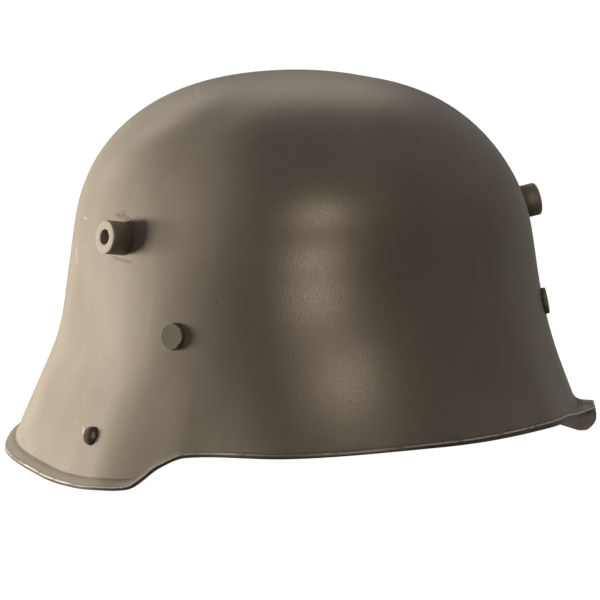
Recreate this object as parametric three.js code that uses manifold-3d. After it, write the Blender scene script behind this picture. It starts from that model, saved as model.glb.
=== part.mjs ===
// A bare steel helmet: one pressed bowl with a visor, a skirt and a turned-out flange,
// two hollow vent lugs, three split pins that would hold a liner, and two strap rivets.
// Millimetres, +Z up, the front of the helmet along -Y, the bottom of the rim at Z = 0.
import * as THREE from 'three';
import { mergeVertices } from 'three/addons/utils/BufferGeometryUtils.js';
import Module from 'manifold-3d';

// Dome: an oval bowl, shorter in front of the ears than behind them
const DOME_HALF_WIDTH = 100.5;
const DOME_FRONT_REACH = 106;
const DOME_REAR_REACH = 117;
const DOME_PLAN_POWER = 2.15;
const SPRING_HEIGHT = 100;
const CROWN_HEIGHT = 172;
const CROWN_POWER = 2.4;

// Sheet steel and the edge that is folded under along the whole rim
const WALL = 1.2;
const HEM_THICKNESS = 2.4;
const HEM_DEPTH = 4;
const HEM_RAMP = 0.8;
const EDGE_LIFT = 1.6;

// Rim by azimuth, in degrees from the front round to the back on either side.
// height: bottom of the rim. reach: radius at the crease above the flange.
// flange, drop: how far the flange turns out, and how far it falls, beyond the crease.
const RIM = [
  { azimuth: 0, height: 31, reach: 140.5, flange: 0.6, drop: 0.6 },
  { azimuth: 28, height: 27, reach: 134, flange: 0.6, drop: 0.6 },
  { azimuth: 50, height: 22.7, reach: 125, flange: 1, drop: 0.8 },
  { azimuth: 55.5, height: 17, reach: 125.5, flange: 3, drop: 1.6 },
  { azimuth: 61, height: 7, reach: 128, flange: 6.2, drop: 2.6 },
  { azimuth: 69, height: 4.2, reach: 129, flange: 6.2, drop: 2.6 },
  { azimuth: 78, height: 1.6, reach: 126.5, flange: 5.8, drop: 2.4 },
  { azimuth: 90, height: 0, reach: 125, flange: 5.5, drop: 2.2 },
  { azimuth: 112, height: 0, reach: 131, flange: 5.4, drop: 2.2 },
  { azimuth: 125, height: 0, reach: 135, flange: 3.6, drop: 1.9 },
  { azimuth: 140, height: 0, reach: 140.5, flange: 1.6, drop: 1.6 },
  { azimuth: 180, height: 0, reach: 150, flange: 1.4, drop: 1.4 },
];

// Side wall by azimuth. draft: degrees off plumb below the spring line.
// flare: height where the wall turns out. softness: half the height of that bend.
const SIDE = [
  { azimuth: 0, draft: 3, flare: 70, softness: 38 },
  { azimuth: 35, draft: 5, flare: 66, softness: 33 },
  { azimuth: 63, draft: 8.5, flare: 62, softness: 22 },
  { azimuth: 90, draft: 4, flare: 57, softness: 14 },
  { azimuth: 115, draft: 8, flare: 51, softness: 12.5 },
  { azimuth: 180, draft: 5, flare: 62, softness: 14 },
];

// Knock on the left side, by degrees from the front: the rim waves along the visor
// and the front corner of the skirt is bent up and out.
// rise: change in the height of the rim. out: how far the edge is pushed out.
// level: share of the flange's fall that is lost.
const KNOCK = [
  { azimuth: 0, rise: 0, out: 0, level: 0 },
  { azimuth: 28, rise: 1.8, out: 0, level: 0 },
  { azimuth: 40, rise: 0.8, out: 0, level: 0 },
  { azimuth: 50, rise: -0.6, out: 0, level: 0 },
  { azimuth: 55.5, rise: 3.8, out: 1, level: 0.3 },
  { azimuth: 60, rise: 12, out: 1.8, level: 0.7 },
  { azimuth: 64, rise: 16, out: 2, level: 0.8 },
  { azimuth: 69, rise: 8.5, out: 1.5, level: 0.5 },
  { azimuth: 78, rise: 0, out: 0, level: 0 },
  { azimuth: 180, rise: 0, out: 0, level: 0 },
];

// Vent lugs
const LUG_AZIMUTH = 79;
const LUG_HEIGHT = 109.5;
const LUG_RADIUS = 7.5;
const LUG_BORE_RADIUS = 3.4;
const LUG_LENGTH = 10.2;
const LUG_CHAMFER = 0.8;
const LUG_BORE_CHAMFER = 0.4;
const LUG_SHANK_RADIUS = 5;
const LUG_COLLAR_RADIUS = 7;
const LUG_COLLAR_THICKNESS = 1.2;

// Liner pins: two in front of the ears and one at the back
const PIN_AZIMUTH = 57.5;
const PIN_HEIGHT = 72;
const REAR_PIN_HEIGHT = 84;
const PIN_HEAD_RADIUS = 5.9;
const PIN_HEAD_THICKNESS = 1.7;
const PIN_EDGE = 0.4;
const PIN_SHANK_RADIUS = 2;
const PIN_LEG_SPAN = 20;
const PIN_LEG_WIDTH = 4;
const PIN_LEG_THICKNESS = 1.2;

// Strap rivets
const RIVET_AZIMUTH = 77.4;
const RIVET_HEIGHT = 23;
const RIVET_HEAD_RADIUS = 4.3;
const RIVET_HEAD_RISE = 3.7;
const RIVET_SHANK_RADIUS = 1.8;
const RIVET_TAIL_RADIUS = 4;
const RIVET_TAIL_THICKNESS = 1.2;

// Clearance between a fastener and the sheet, the tightest bend of the sheet under one,
// and the length of the cutter that pierces the sheet for it
const GAP = 0.3;
const SHEET_BEND_RADIUS = 45;
const HOLE_CUT_LENGTH = 10;

// Fineness of the faceted surfaces
const COLUMN_STEP = 5;
const FINE_COLUMN_STEP = 2.5;
const FINE_FROM = 45;
const FINE_TO = 80;
const WALL_ROWS = 15;
const SECTION_STEPS = 48;
const NOSE_STEPS = 3;
const TURNED_SEGMENTS = 28;
const DOME_HEAD_STEPS = 5;

// Half the span, in degrees or millimetres, over which the slope of the wall is felt
const PROBE = 0.5;

const wasm = await Module();
wasm.setup();

const radians = THREE.MathUtils.degToRad;

// Smooth curve through one column of a table, level at both ends and with no overshoot
function columnCurve(table, column) {
  const at = table.map((row) => row.azimuth);
  const value = table.map((row) => row[column]);
  const slope = at.map(() => 0);
  for (let i = 1; i < at.length - 1; i += 1) {
    const before = at[i] - at[i - 1];
    const after = at[i + 1] - at[i];
    const riseBefore = (value[i] - value[i - 1]) / before;
    const riseAfter = (value[i + 1] - value[i]) / after;
    if (riseBefore * riseAfter > 0) {
      const weightBefore = 2 * after + before;
      const weightAfter = after + 2 * before;
      const weighted = weightBefore / riseBefore + weightAfter / riseAfter;
      slope[i] = (weightBefore + weightAfter) / weighted;
    }
  }
  return (azimuth) => {
    const next = at.findIndex((station, i) => i > 0 && azimuth <= station);
    const last = next - 1;
    const span = at[next] - at[last];
    const t = (azimuth - at[last]) / span;
    const s = 1 - t;
    const ends = value[last] * (1 + 2 * t) * s * s + value[next] * (3 - 2 * t) * t * t;
    return ends + span * t * s * (slope[last] * s - slope[next] * t);
  };
}

const rimHeight = columnCurve(RIM, 'height');
const creaseReach = columnCurve(RIM, 'reach');
const flangeWidth = columnCurve(RIM, 'flange');
const flangeDrop = columnCurve(RIM, 'drop');
const wallDraft = columnCurve(SIDE, 'draft');
const flareHeight = columnCurve(SIDE, 'flare');
const flareSoftness = columnCurve(SIDE, 'softness');
const knockRise = columnCurve(KNOCK, 'rise');
const knockOut = columnCurve(KNOCK, 'out');
const knockLevel = columnCurve(KNOCK, 'level');

// Angle from the front on whichever side an azimuth falls
function sideAngle(azimuth) {
  const turn = Math.abs(azimuth);
  return turn > 180 ? 360 - turn : turn;
}

// One measure of the knock at an azimuth: negative azimuths are the wearer's left, the knocked side
function knocked(measure, azimuth) {
  return azimuth < 0 ? measure(-azimuth) : 0;
}

// Plan radius of the dome at its spring line
function domePlan(azimuth) {
  const across = Math.abs(Math.sin(radians(azimuth)));
  const along = Math.cos(radians(azimuth));
  const reach = along > 0 ? DOME_FRONT_REACH : DOME_REAR_REACH;
  const n = DOME_PLAN_POWER;
  return ((across / DOME_HALF_WIDTH) ** n + (Math.abs(along) / reach) ** n) ** (-1 / n);
}

// Radius of the bowl without its flare
function bowlRadius(side, height) {
  const t = THREE.MathUtils.clamp((height - SPRING_HEIGHT) / (CROWN_HEIGHT - SPRING_HEIGHT), 0, 1);
  const narrowing = (1 - t ** CROWN_POWER) ** (1 / CROWN_POWER);
  return narrowing * (domePlan(side) + Math.tan(radians(wallDraft(side))) * (SPRING_HEIGHT - height));
}

// Depth below the flare line, eased in over the bend
function easedDepth(depth, softness) {
  if (depth <= -softness) {
    return 0;
  }
  if (depth >= softness) {
    return depth;
  }
  return (depth + softness) ** 2 / (4 * softness);
}

// Outer radius of the wall at an azimuth and height
function wallRadius(azimuth, height) {
  const side = sideAngle(azimuth);
  const softness = flareSoftness(side);
  const creaseHeight = rimHeight(side) + EDGE_LIFT + flangeDrop(side);
  const flareAtCrease = creaseReach(side) - bowlRadius(side, creaseHeight);
  const slope = flareAtCrease / easedDepth(flareHeight(side) - creaseHeight, softness);
  return bowlRadius(side, height) + slope * easedDepth(flareHeight(side) - height, softness);
}

// Bottom of the rim on either side, with the knock
function rimBottom(azimuth) {
  return rimHeight(sideAngle(azimuth)) + knocked(knockRise, azimuth);
}

// Outer face of one section as radius and height: flange edge, crease, wall, dome and crown
function outerSection(azimuth) {
  const side = sideAngle(azimuth);
  const drop = flangeDrop(side) * (1 - knocked(knockLevel, azimuth));
  const edgeHeight = rimBottom(azimuth) + EDGE_LIFT;
  const creaseHeight = edgeHeight + drop;
  const creaseRadius = wallRadius(azimuth, creaseHeight);
  const edgeRadius = creaseRadius + flangeWidth(side) + knocked(knockOut, azimuth);
  const points = [new THREE.Vector2(edgeRadius, edgeHeight)];
  for (let i = 0; i < SECTION_STEPS; i += 1) {
    const height = THREE.MathUtils.lerp(creaseHeight, SPRING_HEIGHT, i / SECTION_STEPS);
    points.push(new THREE.Vector2(wallRadius(azimuth, height), height));
  }
  for (let i = 0; i < SECTION_STEPS; i += 1) {
    const rise = Math.sin(((i / SECTION_STEPS) * Math.PI) / 2) ** (2 / CROWN_POWER);
    const height = SPRING_HEIGHT + (CROWN_HEIGHT - SPRING_HEIGHT) * rise;
    points.push(new THREE.Vector2(wallRadius(azimuth, height), height));
  }
  points.push(new THREE.Vector2(0, CROWN_HEIGHT));
  return points;
}

// Point and inward normal at a distance along a section from its first point
function along(section, distance) {
  let left = distance;
  let i = 0;
  while (i < section.length - 2 && left > section[i].distanceTo(section[i + 1])) {
    left -= section[i].distanceTo(section[i + 1]);
    i += 1;
  }
  const step = section[i + 1].clone().sub(section[i]).normalize();
  const point = section[i].clone().addScaledVector(step, left);
  return { point, inward: new THREE.Vector2(-step.y, step.x) };
}

function sectionLength(section) {
  let length = 0;
  for (let i = 1; i < section.length; i += 1) {
    length += section[i].distanceTo(section[i - 1]);
  }
  return length;
}

// Distances of the rows from the edge: the hem, the crease, then even steps to the crown
function rowDistances(section) {
  const hemEnd = HEM_DEPTH + HEM_RAMP;
  const crease = Math.max(section[0].distanceTo(section[1]), hemEnd + HEM_RAMP);
  const wallStart = crease + HEM_DEPTH;
  const wallLength = sectionLength(section) - wallStart;
  const rows = [0, HEM_DEPTH / 2, HEM_DEPTH, hemEnd, crease];
  for (let i = 0; i < WALL_ROWS; i += 1) {
    rows.push(wallStart + (wallLength * i) / WALL_ROWS);
  }
  return rows;
}

function sheetThickness(distance) {
  const thinning = THREE.MathUtils.clamp((distance - HEM_DEPTH) / HEM_RAMP, 0, 1);
  return THREE.MathUtils.lerp(HEM_THICKNESS, WALL, thinning);
}

// One closed section from below the outer crown, round the rim, to below the inner crown.
// The folded edge is rounded above and flat along its underside.
function shellSection(azimuth) {
  const section = outerSection(azimuth);
  const outer = [];
  const inner = [];
  for (const distance of rowDistances(section)) {
    const { point, inward } = along(section, distance);
    outer.unshift(point);
    inner.push(point.clone().addScaledVector(inward, sheetThickness(distance)));
  }
  const { point: edge, inward } = along(section, 0);
  const outward = new THREE.Vector2(-inward.y, inward.x);
  const noseRadius = HEM_THICKNESS / 2;
  const centre = edge.clone().addScaledVector(inward, noseRadius);
  const nose = [];
  for (let i = 1; i < NOSE_STEPS; i += 1) {
    const turn = (i / NOSE_STEPS) * Math.PI;
    const point = centre.clone().addScaledVector(inward, -noseRadius * Math.cos(turn));
    nose.push(point.addScaledVector(outward, noseRadius * Math.sin(turn)));
  }
  const loop = [...outer, ...nose, ...inner];
  const floor = rimBottom(azimuth);
  return loop.map((point) => new THREE.Vector2(point.x, Math.max(point.y, floor)));
}

function sectionReach(azimuth) {
  return Math.max(...shellSection(azimuth).map((point) => point.x));
}

// The frame is centred between the front of the visor and the back of the neck guard
const CENTRE_OFFSET = (sectionReach(180) - sectionReach(0)) / 2;

// Point in space from azimuth, radius and height
function place(azimuth, radius, height) {
  const turn = radians(azimuth);
  return new THREE.Vector3(-radius * Math.sin(turn), -radius * Math.cos(turn) - CENTRE_OFFSET, height);
}

// Azimuths once round from the front, closer together where the visor steps down to the skirt
function columnAzimuths() {
  const half = [];
  let azimuth = 0;
  while (azimuth < 180) {
    half.push(azimuth);
    azimuth += azimuth >= FINE_FROM && azimuth < FINE_TO ? FINE_COLUMN_STEP : COLUMN_STEP;
  }
  const back = half.slice(1).reverse().map((angle) => -angle);
  return [...half, 180, ...back];
}

function shellGeometry() {
  const columns = columnAzimuths();
  const sections = columns.map(shellSection);
  const rowCount = sections[0].length;
  const points = [place(0, 0, CROWN_HEIGHT), place(0, 0, CROWN_HEIGHT - WALL)];
  const firstRing = points.length;
  columns.forEach((azimuth, i) => {
    sections[i].forEach((point) => points.push(place(azimuth, point.x, point.y)));
  });
  const triangles = [];
  columns.forEach((azimuth, i) => {
    const here = firstRing + i * rowCount;
    const beside = firstRing + ((i + 1) % columns.length) * rowCount;
    triangles.push(0, beside, here);
    for (let row = 0; row < rowCount - 1; row += 1) {
      triangles.push(here + row, beside + row, beside + row + 1);
      triangles.push(here + row, beside + row + 1, here + row + 1);
    }
    triangles.push(1, here + rowCount - 1, beside + rowCount - 1);
  });
  const geometry = new THREE.BufferGeometry().setFromPoints(points);
  geometry.setIndex(triangles);
  return geometry;
}

// Solid of revolution about +Z from pairs of radius and height, listed anticlockwise
function turned(profile) {
  const points = profile.map(([radius, height]) => new THREE.Vector2(radius, height));
  return new THREE.LatheGeometry(points, TURNED_SEGMENTS).rotateX(Math.PI / 2);
}

// Closed solid for joins and cuts: shared corners merged, collapsed triangles dropped, then placed
function solid(geometry, placement = new THREE.Matrix4()) {
  const bare = geometry.clone();
  bare.deleteAttribute('normal');
  bare.deleteAttribute('uv');
  const merged = mergeVertices(bare).applyMatrix4(placement);
  const index = merged.index.array;
  const kept = [];
  for (let i = 0; i < index.length; i += 3) {
    const [a, b, c] = index.slice(i, i + 3);
    if (a !== b && b !== c && c !== a) {
      kept.push(a, b, c);
    }
  }
  const vertProperties = new Float32Array(merged.attributes.position.array);
  return new wasm.Manifold(new wasm.Mesh({ numProp: 3, vertProperties, triVerts: new Uint32Array(kept) }));
}

function meshOf(name, body, material) {
  const { vertProperties, triVerts } = body.getMesh();
  const geometry = new THREE.BufferGeometry();
  geometry.setAttribute('position', new THREE.BufferAttribute(vertProperties, 3));
  geometry.setIndex(new THREE.BufferAttribute(triVerts, 1));
  geometry.computeVertexNormals();
  const mesh = new THREE.Mesh(geometry, material);
  mesh.name = name;
  return mesh;
}

// Frame on the outer face: X level along the wall, Y up the wall, Z straight out of it
function seatOn(azimuth, height) {
  const surface = (angle, level) => place(angle, wallRadius(angle, level), level);
  const sideways = surface(azimuth - PROBE, height).sub(surface(azimuth + PROBE, height));
  const upward = surface(azimuth, height + PROBE).sub(surface(azimuth, height - PROBE));
  const out = sideways.cross(upward).normalize();
  const level = new THREE.Vector3(0, 0, 1).cross(out).normalize();
  const seat = new THREE.Matrix4().makeBasis(level, out.clone().cross(level), out);
  return seat.setPosition(surface(azimuth, height));
}

// How far the bent sheet falls away from flat at a distance from a fastener's centre
function sag(distance) {
  return distance ** 2 / (2 * SHEET_BEND_RADIUS);
}

function lugSolid() {
  const collarTop = -(WALL + sag(LUG_COLLAR_RADIUS) + GAP);
  const collarBottom = collarTop - LUG_COLLAR_THICKNESS;
  return solid(turned([
    [LUG_BORE_RADIUS, collarBottom],
    [LUG_COLLAR_RADIUS, collarBottom],
    [LUG_COLLAR_RADIUS, collarTop],
    [LUG_SHANK_RADIUS, collarTop],
    [LUG_SHANK_RADIUS, GAP],
    [LUG_RADIUS, GAP],
    [LUG_RADIUS, LUG_LENGTH - LUG_CHAMFER],
    [LUG_RADIUS - LUG_CHAMFER, LUG_LENGTH],
    [LUG_BORE_RADIUS + LUG_BORE_CHAMFER, LUG_LENGTH],
    [LUG_BORE_RADIUS, LUG_LENGTH - LUG_BORE_CHAMFER],
    [LUG_BORE_RADIUS, collarBottom],
  ]));
}

// Split pin: flat head, shank, and both legs bent level against the inside
function pinSolid() {
  const legTop = -(WALL + sag(PIN_LEG_SPAN / 2) + GAP);
  const legMiddle = legTop - PIN_LEG_THICKNESS / 2;
  const headTop = GAP + PIN_HEAD_THICKNESS;
  const head = turned([
    [0, legMiddle],
    [PIN_SHANK_RADIUS, legMiddle],
    [PIN_SHANK_RADIUS, GAP],
    [PIN_HEAD_RADIUS, GAP],
    [PIN_HEAD_RADIUS, headTop - PIN_EDGE],
    [PIN_HEAD_RADIUS - PIN_EDGE, headTop],
    [0, headTop],
  ]);
  const legs = new THREE.BoxGeometry(PIN_LEG_SPAN, PIN_LEG_WIDTH, PIN_LEG_THICKNESS);
  return solid(head).add(solid(legs.translate(0, 0, legMiddle)));
}

function rivetSolid() {
  const tailTop = -(WALL + sag(RIVET_TAIL_RADIUS) + GAP);
  const tailBottom = tailTop - RIVET_TAIL_THICKNESS;
  const profile = [
    [0, tailBottom],
    [RIVET_TAIL_RADIUS, tailBottom],
    [RIVET_TAIL_RADIUS, tailTop],
    [RIVET_SHANK_RADIUS, tailTop],
    [RIVET_SHANK_RADIUS, GAP],
  ];
  for (let i = 0; i < DOME_HEAD_STEPS; i += 1) {
    const turn = ((i / DOME_HEAD_STEPS) * Math.PI) / 2;
    profile.push([RIVET_HEAD_RADIUS * Math.cos(turn), GAP + RIVET_HEAD_RISE * Math.sin(turn)]);
  }
  profile.push([0, GAP + RIVET_HEAD_RISE]);
  return solid(turned(profile));
}

// Round cutter for the hole that a shank passes through
function holeCutter(shankRadius) {
  const radius = shankRadius + GAP;
  const cutter = new THREE.CylinderGeometry(radius, radius, HOLE_CUT_LENGTH, TURNED_SEGMENTS);
  return cutter.rotateX(Math.PI / 2);
}

// Finishes: worn field paint on the shell and pins, darkened steel on the lugs and rivets
const finish = (surface) => new THREE.MeshStandardMaterial(surface);
const shellPaint = finish({ color: 0x6a6252, roughness: 0.55, metalness: 0.1 });
const pinPaint = finish({ color: 0x57503f, roughness: 0.5, metalness: 0.4 });
const lugSteel = finish({ color: 0x4a4238, roughness: 0.5, metalness: 0.5 });
const rivetSteel = finish({ color: 0x3f382f, roughness: 0.35, metalness: 0.6 });

// Kinds of fastener: how each is made, the shank that needs a hole, and its finish
const LUG = { make: lugSolid, shank: LUG_SHANK_RADIUS, material: lugSteel };
const PIN = { make: pinSolid, shank: PIN_SHANK_RADIUS, material: pinPaint };
const RIVET = { make: rivetSolid, shank: RIVET_SHANK_RADIUS, material: rivetSteel };

const FASTENERS = [
  { name: 'lug_right', kind: LUG, azimuth: LUG_AZIMUTH, height: LUG_HEIGHT },
  { name: 'lug_left', kind: LUG, azimuth: -LUG_AZIMUTH, height: LUG_HEIGHT },
  { name: 'liner_pin_right', kind: PIN, azimuth: PIN_AZIMUTH, height: PIN_HEIGHT },
  { name: 'liner_pin_left', kind: PIN, azimuth: -PIN_AZIMUTH, height: PIN_HEIGHT },
  { name: 'liner_pin_rear', kind: PIN, azimuth: 180, height: REAR_PIN_HEIGHT },
  { name: 'strap_rivet_right', kind: RIVET, azimuth: RIVET_AZIMUTH, height: RIVET_HEIGHT },
  { name: 'strap_rivet_left', kind: RIVET, azimuth: -RIVET_AZIMUTH, height: RIVET_HEIGHT },
];

const helmet = new THREE.Group();
let shell = solid(shellGeometry());
for (const { name, kind, azimuth, height } of FASTENERS) {
  const seat = seatOn(azimuth, height);
  shell = shell.subtract(solid(holeCutter(kind.shank), seat));
  const fastener = meshOf(name, kind.make(), kind.material);
  fastener.applyMatrix4(seat);
  helmet.add(fastener);
}
helmet.add(meshOf('shell', shell, shellPaint));

export default helmet;
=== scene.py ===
# Looks of a bare steel helmet: a fine shell built from the same sections as the solid one,
# turned lugs, split pins and rivets, aged field paint, a glowing white floor and studio light.
import math

import bmesh
import bpy
import numpy as np
from mathutils import Matrix, Vector
from mathutils.bvhtree import BVHTree


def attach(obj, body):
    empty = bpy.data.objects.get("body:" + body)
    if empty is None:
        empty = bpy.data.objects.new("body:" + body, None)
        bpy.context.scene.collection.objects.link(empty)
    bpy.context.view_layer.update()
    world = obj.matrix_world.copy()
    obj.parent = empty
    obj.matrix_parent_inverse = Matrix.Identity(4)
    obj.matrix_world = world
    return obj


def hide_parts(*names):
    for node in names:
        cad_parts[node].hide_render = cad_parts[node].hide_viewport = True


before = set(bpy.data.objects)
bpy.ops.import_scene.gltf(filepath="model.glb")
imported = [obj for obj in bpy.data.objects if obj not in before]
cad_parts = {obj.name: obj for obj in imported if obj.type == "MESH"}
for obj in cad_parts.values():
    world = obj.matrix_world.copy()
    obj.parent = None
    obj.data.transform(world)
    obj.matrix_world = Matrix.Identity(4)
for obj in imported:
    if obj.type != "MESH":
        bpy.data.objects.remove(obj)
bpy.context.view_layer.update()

# Lengths below are in millimetres unless a heading says metres, and a mesh is scaled to metres
# when it is made
MM = 0.001

# Dome: an oval bowl, shorter in front of the ears than behind them
DOME_HALF_WIDTH = 100.5
DOME_FRONT_REACH = 106
DOME_REAR_REACH = 117
DOME_PLAN_POWER = 2.15
SPRING_HEIGHT = 100
CROWN_HEIGHT = 172
CROWN_POWER = 2.4

# Sheet steel and the edge that is folded under along the whole rim
WALL = 1.2
HEM_THICKNESS = 2.4
HEM_DEPTH = 4
HEM_RAMP = 0.8
HEM_CORNER = 0.4
HEM_FACE = 3
EDGE_LIFT = 1.6
CREASE_ROUNDING = 0.7
KNOCK_ROUNDING = 3

# How far the fold hangs below the rim's line. It starts and is full at these heights off the
# floor, and grows between these azimuths.
HEM_HANG = 1.2
HEM_HANG_LEAST = 0.15
HANG_FROM = 5
HANG_FULL = 16
HANG_TURN = 10
HANG_TURN_FULL = -35

# Painted shade below the crease: half the width of its upper edge, and how fast it fades downwards
NARROW_FLANGE = 1.6
CREASE_SHADE_EDGE = 0.35
CREASE_SHADE_DEPTH = 2.2

# Rim by azimuth, in degrees from the front round to the back on either side.
# height: bottom of the rim. reach: radius at the crease above the flange.
# flange, drop: how far the flange turns out, and how far it falls, beyond the crease.
RIM = [
    {"azimuth": 0, "height": 31, "reach": 140.5, "flange": 0.6, "drop": 0.6},
    {"azimuth": 28, "height": 27, "reach": 134, "flange": 0.6, "drop": 0.6},
    {"azimuth": 50, "height": 22.7, "reach": 125, "flange": 1, "drop": 0.8},
    {"azimuth": 55.5, "height": 17, "reach": 125.5, "flange": 3, "drop": 1.6},
    {"azimuth": 61, "height": 7, "reach": 128, "flange": 6.2, "drop": 2.6},
    {"azimuth": 69, "height": 4.2, "reach": 129, "flange": 6.2, "drop": 2.6},
    {"azimuth": 78, "height": 1.6, "reach": 126.5, "flange": 5.8, "drop": 2.4},
    {"azimuth": 90, "height": 0, "reach": 125, "flange": 5.5, "drop": 2.2},
    {"azimuth": 112, "height": 0, "reach": 131, "flange": 5.4, "drop": 2.2},
    {"azimuth": 125, "height": 0, "reach": 135, "flange": 3.6, "drop": 1.9},
    {"azimuth": 140, "height": 0, "reach": 140.5, "flange": 1.6, "drop": 1.6},
    {"azimuth": 180, "height": 0, "reach": 150, "flange": 1.4, "drop": 1.4},
]

# Side wall by azimuth. draft: degrees off plumb below the spring line.
# flare: height where the wall turns out. softness: half the height of that bend.
SIDE = [
    {"azimuth": 0, "draft": 3, "flare": 70, "softness": 38},
    {"azimuth": 35, "draft": 5, "flare": 66, "softness": 33},
    {"azimuth": 63, "draft": 8.5, "flare": 62, "softness": 22},
    {"azimuth": 90, "draft": 4, "flare": 57, "softness": 14},
    {"azimuth": 115, "draft": 8, "flare": 51, "softness": 12.5},
    {"azimuth": 180, "draft": 5, "flare": 62, "softness": 14},
]

# Knock on the left side, by degrees from the front: the rim waves along the visor
# and the front corner of the skirt is bent up and out.
# rise: change in the height of the rim. out: how far the edge is pushed out.
# level: share of the flange's fall that is lost.
KNOCK = [
    {"azimuth": 0, "rise": 0, "out": 0, "level": 0},
    {"azimuth": 28, "rise": 1.8, "out": 0, "level": 0},
    {"azimuth": 40, "rise": 0.8, "out": 0, "level": 0},
    {"azimuth": 50, "rise": -0.6, "out": 0, "level": 0},
    {"azimuth": 55.5, "rise": 3.8, "out": 1, "level": 0.3},
    {"azimuth": 60, "rise": 12, "out": 1.8, "level": 0.7},
    {"azimuth": 64, "rise": 16, "out": 2, "level": 0.8},
    {"azimuth": 69, "rise": 8.5, "out": 1.5, "level": 0.5},
    {"azimuth": 78, "rise": 0, "out": 0, "level": 0},
    {"azimuth": 180, "rise": 0, "out": 0, "level": 0},
]

# Fasteners. GAP: clearance in a hole and inside the shell. SEAT: how far a head sits off the outer face.
GAP = 0.3
SEAT = 0.05
SHEET_BEND_RADIUS = 45
LUG_AZIMUTH = 79
LUG_HEIGHT = 109.5
LUG_RADIUS = 7.5
LUG_BORE_RADIUS = 3.4
LUG_LENGTH = 10.2
LUG_END_ROUND = 0.8
LUG_BORE_ROUND = 0.4
LUG_SHANK_RADIUS = 5
LUG_COLLAR_RADIUS = 7
LUG_COLLAR_THICKNESS = 1.2
PIN_AZIMUTH = 57.5
PIN_HEIGHT = 72
REAR_PIN_HEIGHT = 84
PIN_HEAD_RADIUS = 5.9
PIN_HEAD_THICKNESS = 1.7
PIN_HEAD_WOBBLE = 0.16
PIN_EDGE = 0.4
PIN_BASE_WEAR = 0.3
PIN_SHANK_RADIUS = 2
PIN_LEG_SPAN = 20
PIN_LEG_WIDTH = 4
PIN_LEG_THICKNESS = 1.2
PIN_LEG_SLIT = 0.5
RIVET_AZIMUTH = 77.4
RIVET_HEIGHT = 23
RIVET_HEAD_RADIUS = 4.3
RIVET_HEAD_RISE = 3.7
RIVET_SHANK_RADIUS = 1.8
RIVET_TAIL_RADIUS = 4
RIVET_TAIL_THICKNESS = 1.2
EDGE_ROUND = 0.25
WEAR_REACH = 0.7

# Uneven rim of a pin's head, as waves round it. shift: radians. share: its part of the wobble.
WOBBLE = [
    {"waves": 3, "shift": 1.1, "share": 1},
    {"waves": 7, "shift": 2.3, "share": 0.6},
    {"waves": 12, "shift": 0, "share": 0.5},
]

# Fineness of the meshes. PROBE: step to either side of a place, in millimetres along a line
# or degrees round the helmet, over which a slope is taken.
COLUMNS = 480
SECTION_STEPS = 160
WALL_ROWS = 62
FLANGE_ROWS = 6
CREASE_ROWS = 3
CORNER_STEPS = 4
TURNED_SEGMENTS = 72
FILLET_STEPS = 4
DOME_HEAD_STEPS = 10
PROBE = 0.5
ROUNDING_SAMPLES = 7

# Camera, as it stood for the photograph: degrees to the wearer's right and above the floor
VIEW_TURN = 25.3
VIEW_RISE = 11.7
VIEW_DISTANCE = 2500
VIEW_ASIDE = -2.3
VIEW_UP = 68
MM_PER_PIXEL = 0.458
IMAGE_SIZE = 600
SENSOR = 36

# Studio lights, aimed at the middle of the helmet. turn: degrees from the front to the
# wearer's right. rise: degrees up. distance, width, height: metres. power: watts.
# Soft lights leave no reflection in the paint, and sheen lights leave nothing else.
LIGHTS = [
    {"name": "key", "turn": 126, "rise": -3, "distance": 0.7, "width": 0.4, "height": 0.08, "power": 25.5},
    {"name": "brow", "turn": 21, "rise": 5, "distance": 1.6, "width": 0.55, "height": 0.3, "power": 22},
    {"name": "visor", "turn": 18, "rise": 38, "distance": 1.6, "width": 0.45, "height": 0.1, "power": 17},
    {"name": "top", "turn": -165, "rise": 30, "distance": 2.0, "width": 1.4, "height": 0.8, "power": 6},
    {"name": "sky", "turn": 0, "rise": 85, "distance": 2.0, "width": 1.5, "height": 1.5, "power": 11},
    {"name": "edge", "turn": -75, "rise": -4, "distance": 0.6, "width": 0.3, "height": 0.06, "power": 0.7},
]
SOFT_LIGHTS = ("key", "sky", "edge")
SHEEN_LIGHTS = ("brow", "visor")
WARM_LIGHTS = ("brow", "visor", "top")
WARM_LIGHT = (1.0, 0.9, 0.76)
AIM_HEIGHT = 85
WORLD_LIGHT = 0.27
WORLD_COLOUR = (1.0, 0.985, 0.96, 1.0)
FLOOR_GLOW = 1.0
FLOOR_GLOW_COLOUR = (1.0, 1.0, 0.99, 1.0)
FLOOR_DARK = (0.03, 0.03, 0.029, 1.0)
FLOOR_LIGHT = (0.04, 0.04, 0.039, 1.0)
FLOOR_ROUGHNESS = 0.8
FLOOR_SIZE = 14000
FLOOR_DROP = 0.1

# Colours of the shell, and how far its streaks are drawn out upright
PAINT = (0.098, 0.082, 0.060, 1.0)
PAINT_LIGHT = (0.114, 0.096, 0.071, 1.0)
PAINT_STREAK = (0.122, 0.098, 0.077, 1.0)
PAINT_INSIDE = (0.045, 0.036, 0.026, 1.0)
# Painted light on the inner lip of the rim
LIP_PAINTED_LIGHT = (0.220, 0.165, 0.118, 1.0)
# Worn paint and a painted highlight along the fold's upper corner
WORN_PAINT_AND_HIGHLIGHT = (0.33, 0.30, 0.24, 1.0)
PAINT_PALE = (0.24, 0.21, 0.16, 1.0)
# Darkest colour: painted shade on the fold, under the crease and above the rim, and also pits and dark spots
SHADE_AND_PIT_DARK = (0.030, 0.023, 0.017, 1.0)
# Browner painted shade on the fold
FOLD_SHADE_BROWN = (0.072, 0.047, 0.034, 1.0)
RUST = (0.098, 0.052, 0.034, 1.0)
RUST_SPECK = (0.060, 0.030, 0.020, 1.0)
SHEEN = (1.0, 0.9, 0.76, 1.0)
STREAK_STRETCH = (1.0, 1.0, 0.22)

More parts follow.
